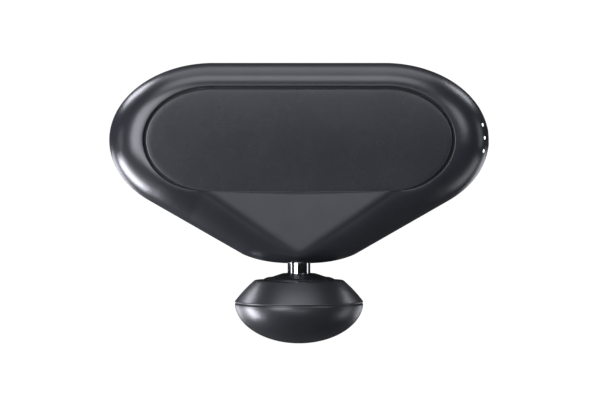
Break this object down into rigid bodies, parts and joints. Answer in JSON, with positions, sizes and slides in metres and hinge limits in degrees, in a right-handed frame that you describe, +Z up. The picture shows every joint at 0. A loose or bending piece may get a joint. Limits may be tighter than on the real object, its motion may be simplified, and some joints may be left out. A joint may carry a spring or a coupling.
{
  "type": "massage gun",
  "caption": "Palm-size percussive massage gun: a triangular two-lobed body with a crank-driven shaft in its nose and a pull-off ball head.",
  "frame": {"origin": "on the output shaft's axis, in the middle of the body's depth, level with the centres of the two lobes", "axes": "+Z up, away from the head; -Y towards the front cover; +X towards the button's end; the head points down -Z"},
  "size_m": [0.1663, 0.0568, 0.1232],
  "materials": {
    "housing_shell": "soft-touch charcoal plastic, satin",
    "cover_plate": "soft-touch charcoal plastic, satin",
    "black_rubber": "moulded black rubber",
    "zinc_steel": "zinc-plated screw steel",
    "button_plastic": "soft-touch button",
    "switch_metal": "tinned stamping",
    "circuit_board": "green solder resist",
    "light_guide": "clear light guide, lit white",
    "light_chip": "light-emitting chip",
    "chip_black": "moulded chip package",
    "cell_sleeve": "shrink sleeve",
    "holder_nylon": "glass-filled nylon",
    "nickel_strip": "nickel strip",
    "wire_sleeve": "silicone insulation",
    "cast_aluminium": "die-cast, bead-blasted",
    "bearing_steel": "ground bearing steel",
    "lamination_steel": "stacked laminations",
    "copper_wire": "enamelled copper winding",
    "bell_steel": "coated rotor bell",
    "magnet_nickel": "nickel-plated magnet",
    "crank_steel": "sintered steel",
    "polished_shaft": "polished and hard-chromed shaft",
    "bush_bronze": "oil-filled sintered bronze",
    "head_plastic": "dark moulded plastic",
    "head_foam": "closed-cell foam with a smooth skin"
  },
  "bodies": {
    "body": {"front_housing": "housing_shell", "rear_housing": "housing_shell", "front_cover": "cover_plate", "rear_cover": "cover_plate", "seam_gasket": "black_rubber", "housing_screws": "zinc_steel", "nose_seal": "black_rubber", "button_switch": "switch_metal", "control_board": "circuit_board", "led_lenses": "light_guide", "led_chips": "light_chip", "main_board": "circuit_board", "board_chips": "chip_black", "board_screws": "zinc_steel", "charge_port": "switch_metal", "charge_board": "circuit_board", "battery_cell_left_outer": "cell_sleeve", "battery_cell_left_inner": "cell_sleeve", "battery_cell_right": "cell_sleeve", "battery_holder_left": "holder_nylon", "battery_holder_right": "holder_nylon", "battery_tabs": "nickel_strip", "wiring": "wire_sleeve", "drive_frame": "cast_aluminium", "frame_grommets": "black_rubber", "frame_screws": "zinc_steel", "motor_base": "cast_aluminium", "motor_screws": "zinc_steel", "motor_bearing_front": "bearing_steel", "motor_bearing_rear": "bearing_steel", "motor_stator": "lamination_steel", "motor_windings": "copper_wire", "shaft_bush": "bush_bronze"},
    "rotor": {"rotor_bell": "bell_steel", "rotor_magnets": "magnet_nickel", "motor_shaft": "bearing_steel", "crank_disc": "crank_steel", "crank_pin": "bearing_steel"},
    "roller": {"crank_roller": "bearing_steel"},
    "driven_shaft": {"yoke": "crank_steel", "yoke_pin": "bearing_steel", "output_shaft": "polished_shaft"},
    "head": {"head_collar": "head_plastic", "head_core": "head_plastic", "head_grip_ring": "black_rubber", "head_ball": "head_foam"},
    "button": {"button": "button_plastic"}
  },
  "joints": [
    {"name": "crank_turn", "type": "hinge", "parent": "body", "child": "rotor", "pos_m": [0, 0, 0.008], "axis": [0, 1, 0], "range_deg": [0, 180]},
    {"name": "roller_spin", "type": "hinge", "parent": "rotor", "child": "roller", "pos_m": [0, 0, 0.014], "axis": [0, 1, 0], "continuous": true},
    {"name": "shaft_slide", "type": "slide", "parent": "body", "child": "driven_shaft", "axis": [0, 0, -1], "range_m": [0, 0.012]},
    {"name": "head_pull", "type": "slide", "parent": "driven_shaft", "child": "head", "axis": [0, 0, -1], "range_m": [0, 0.022]},
    {"name": "button_press", "type": "slide", "parent": "body", "child": "button", "axis": [-1, 0, 0], "range_m": [0, 0.0006], "stiffness_N_per_m": 3000}
  ],
  "couplings": [
    {"joint": "shaft_slide", "follows": "crank_turn", "m_per_rad": 0.0038197}
  ]
}
